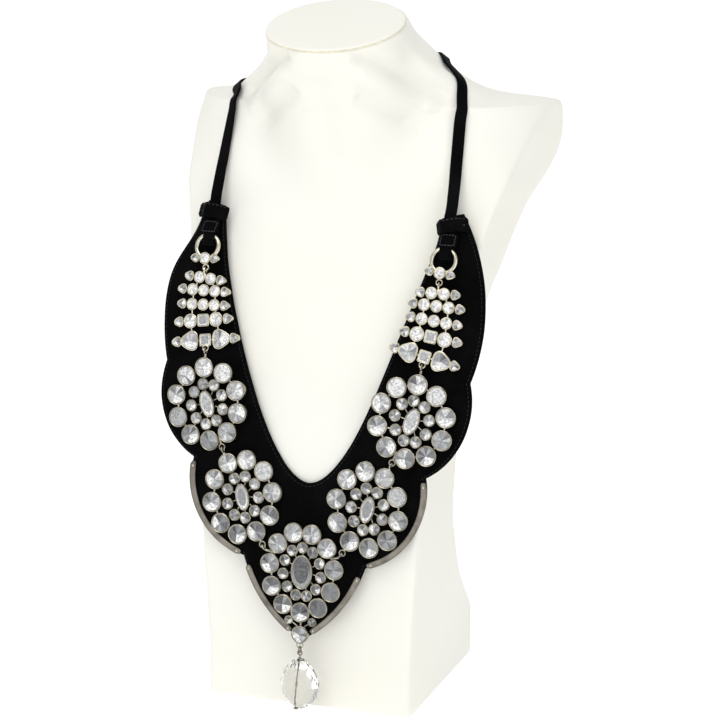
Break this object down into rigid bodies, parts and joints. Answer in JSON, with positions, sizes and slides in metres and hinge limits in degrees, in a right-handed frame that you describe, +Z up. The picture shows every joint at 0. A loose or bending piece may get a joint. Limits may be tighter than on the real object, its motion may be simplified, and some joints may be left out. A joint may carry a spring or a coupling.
{
  "type": "velvet bib necklace on neck bust",
  "caption": "Scalloped black velvet bib necklace with silver-set stones and a clear teardrop, worn on a plain cream neck bust.",
  "frame": {"origin": "centre of the bust's flat base", "axes": "+X towards the viewer's right across the shoulders, +Y towards the back, +Z up"},
  "size_m": [0.229, 0.1732, 0.4116],
  "materials": {
    "leatherette": "smooth cream leatherette",
    "velvet": "deep black cotton velvet",
    "silver": "warm polished silver plate",
    "antique_silver": "brushed and darkened silver plate",
    "crystal": "clear faceted glass"
  },
  "bodies": {
    "display": {"neck_bust": "leatherette", "neck_cap": "leatherette", "velvet_bib": "velvet", "neck_strap": "velvet", "right_keeper": "velvet", "left_keeper": "velvet", "right_ring_bar": "silver", "left_ring_bar": "silver", "right_ladder": "silver", "left_ladder": "silver", "right_upper_rosette": "silver", "left_upper_rosette": "silver", "right_lower_rosette": "silver", "left_lower_rosette": "silver", "centre_rosette": "silver", "right_side_trim": "antique_silver", "left_side_trim": "antique_silver", "right_point_trim": "antique_silver", "left_point_trim": "antique_silver"},
    "jump_ring": {"drop_ring": "silver"},
    "drop": {"drop_pin": "silver", "crystal_drop": "crystal"}
  },
  "joints": [
    {"name": "ring_swing", "type": "hinge", "parent": "display", "child": "jump_ring", "pos_m": [0, -0.0734, 0.0403], "axis": [1, 0, 0], "range_deg": [-55, 12]},
    {"name": "drop_swing", "type": "hinge", "parent": "jump_ring", "child": "drop", "pos_m": [0, -0.0734, 0.0376], "axis": [0, 1, 0], "range_deg": [-45, 45]}
  ]
}
